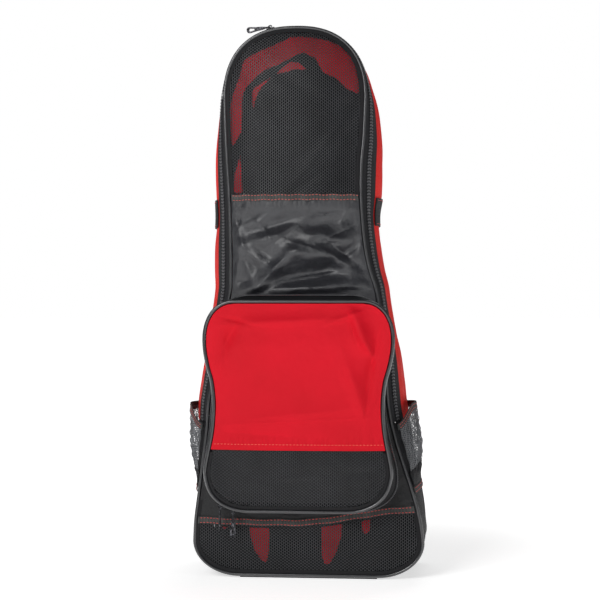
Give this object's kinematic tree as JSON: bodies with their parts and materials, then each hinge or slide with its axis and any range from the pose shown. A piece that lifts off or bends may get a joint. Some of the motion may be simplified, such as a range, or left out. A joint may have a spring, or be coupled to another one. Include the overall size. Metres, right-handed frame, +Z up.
{
  "type": "beach gear bag",
  "caption": "tall standing backpack for fins and beach gear, with a net window, an arched zip, a boxy zip pocket on its front, net side pockets and padded shoulder straps",
  "frame": {"origin": "middle of the flat bottom panel, on the face that the bag stands on", "axes": "+Z up along the bag's height, -Y out of its front, +X to the right as seen from the front"},
  "size_m": [0.3234, 0.2333, 0.739],
  "materials": {
    "nylon_black": "glossy coated nylon",
    "red_cloth": "woven polyester, red",
    "net_black": "coated open net",
    "piping_black": "smooth PVC piping",
    "ribbon_black": "grosgrain ribbon and webbing with red stitches",
    "zip_tape_black": "woven zip tape",
    "coil_black": "nylon zip coil",
    "lining_black": "dark lining with red areas",
    "padding_black": "padded cloth",
    "side_net_grey": "crinkled grey net",
    "slider_gunmetal": "dark plated zip hardware",
    "buckle_black": "moulded plastic"
  },
  "bodies": {
    "bag": {"front_piping": "piping_black", "back_piping": "piping_black", "pocket_piping": "piping_black", "window_mesh": "net_black", "base_mesh": "net_black", "pocket_mesh": "net_black", "window_lining": "lining_black", "base_lining": "lining_black", "window_band": "ribbon_black", "base_band": "ribbon_black", "yoke_back": "ribbon_black", "side_webbing_left": "ribbon_black", "side_webbing_right": "ribbon_black", "side_pocket_hem_left": "ribbon_black", "side_pocket_hem_right": "ribbon_black", "side_pocket_base_band_left": "ribbon_black", "side_pocket_base_band_right": "ribbon_black", "lower_webbing_left": "ribbon_black", "lower_webbing_right": "ribbon_black", "front_nylon": "nylon_black", "bottom_panel": "nylon_black", "pocket_gusset": "nylon_black", "base_side_left": "nylon_black", "base_side_right": "nylon_black", "zip_tape": "zip_tape_black", "zip_coil": "coil_black", "pocket_zip_coil": "coil_black", "side_panel": "red_cloth", "pocket_front": "red_cloth", "back_panel": "padding_black", "shoulder_strap_left": "padding_black", "shoulder_strap_right": "padding_black", "side_pocket_left": "side_net_grey", "side_pocket_right": "side_net_grey", "strap_adjuster_left": "buckle_black", "strap_adjuster_right": "buckle_black", "main_slider": "slider_gunmetal", "pocket_slider_a": "slider_gunmetal", "pocket_slider_b": "slider_gunmetal"},
    "main_pull": {"main_pull": "slider_gunmetal"},
    "pocket_pull_a": {"pocket_pull_a": "slider_gunmetal"},
    "pocket_pull_b": {"pocket_pull_b": "slider_gunmetal"}
  },
  "joints": [
    {"name": "main_pull_hinge", "type": "hinge", "parent": "bag", "child": "main_pull", "pos_m": [-0.04282, -0.04632, 0.73603], "axis": [0, 1, 0], "range_deg": [0, 150]},
    {"name": "pocket_pull_a_hinge", "type": "hinge", "parent": "bag", "child": "pocket_pull_a", "pos_m": [-0.10199, -0.10947, 0.09627], "axis": [0, 1, 0], "range_deg": [-10, 100]},
    {"name": "pocket_pull_b_hinge", "type": "hinge", "parent": "bag", "child": "pocket_pull_b", "pos_m": [-0.08461, -0.11077, 0.08966], "axis": [0, 1, 0], "range_deg": [-70, 10]}
  ]
}
